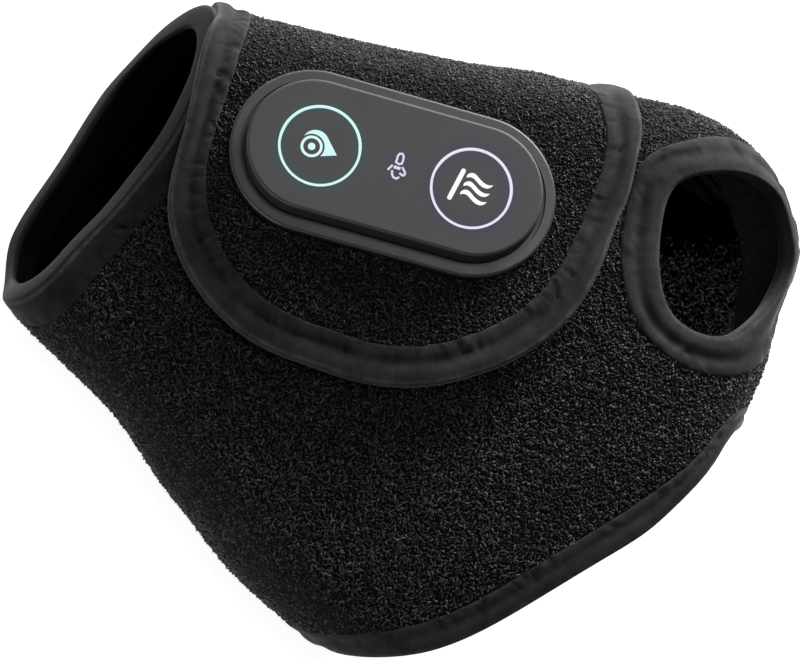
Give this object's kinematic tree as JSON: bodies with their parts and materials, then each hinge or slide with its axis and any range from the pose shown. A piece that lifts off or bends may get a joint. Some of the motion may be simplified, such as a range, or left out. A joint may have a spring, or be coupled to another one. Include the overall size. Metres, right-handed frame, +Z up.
{
  "type": "heated wrist wrap",
  "caption": "Flattened plush wrist wrap with a thumb hole, bound edges and a hinged flap that carries a stadium-shaped heat and massage module with round lit buttons.",
  "frame": {"origin": "on the flat underside, under the middle of the control module", "axes": "+X runs along the tube from the forearm opening to the hand opening, +Y towards the upper fold that carries the flap's hinge, +Z up through the module"},
  "size_m": [0.1878, 0.1693, 0.0675],
  "materials": {
    "plush": "black loop plush",
    "lining": "black brushed knit",
    "binding": "satin edge tape",
    "hook_tape": "hook fastener",
    "film": "heater film",
    "trace": "printed conductor",
    "sensor": "moulded bead",
    "housing": "fine matt",
    "cover": "soft-touch matt",
    "button": "soft-touch matt",
    "gasket": "matt",
    "cyan_light": "lit light guide",
    "white_light": "lit light guide",
    "icon_cyan": "lit inlay",
    "icon_white": "lit inlay",
    "board": "solder mask",
    "switch": "stamped",
    "led": "clear",
    "chip": "moulded",
    "battery": "foil pouch",
    "metal": "plain",
    "screw": "plain"
  },
  "bodies": {
    "wrap": {"wrap_shell": "plush", "inner_lining": "lining", "heating_film": "film", "heating_trace": "trace", "temperature_sensor": "sensor", "forearm_edge_binding": "binding", "hand_edge_binding": "binding", "thumb_hole_binding": "binding", "flap_root": "plush"},
    "flap": {"flap_panel": "plush", "flap_edge_binding": "binding", "hook_patch": "hook_tape", "base_housing": "housing", "clamp_plate": "housing", "housing_screws": "screw", "cover_gasket": "gasket", "top_cover": "cover", "massage_ring_light": "cyan_light", "heat_ring_light": "white_light", "wrist_icon": "icon_white", "circuit_board": "board", "tact_switches": "switch", "ring_leds": "led", "control_chip": "chip", "battery_pack": "battery", "motor_can": "metal", "charging_port": "metal"},
    "massage_key": {"massage_button": "button", "massage_icon": "icon_cyan"},
    "heat_key": {"heat_button": "button", "heat_icon": "icon_white"},
    "motor_rotor": {"motor_weight": "metal"}
  },
  "joints": [
    {"name": "flap_hinge", "type": "hinge", "parent": "wrap", "child": "flap", "pos_m": [-0.01566, 0.03637, 0.01985], "axis": [-0.9184, -0.3955, 0], "range_deg": [0, 110]},
    {"name": "massage_press", "type": "slide", "parent": "flap", "child": "massage_key", "axis": [0.1045, 0, -0.9945], "range_m": [0, 0.0005], "stiffness_N_per_m": 400, "springref_m": -0.0005},
    {"name": "heat_press", "type": "slide", "parent": "flap", "child": "heat_key", "axis": [0.1045, 0, -0.9945], "range_m": [0, 0.0005], "stiffness_N_per_m": 400, "springref_m": -0.0005},
    {"name": "motor_spin", "type": "hinge", "parent": "flap", "child": "motor_rotor", "pos_m": [0.02835, 0.00826, 0.05862], "axis": [-0.2841, 0.9583, -0.0299], "continuous": true}
  ]
}
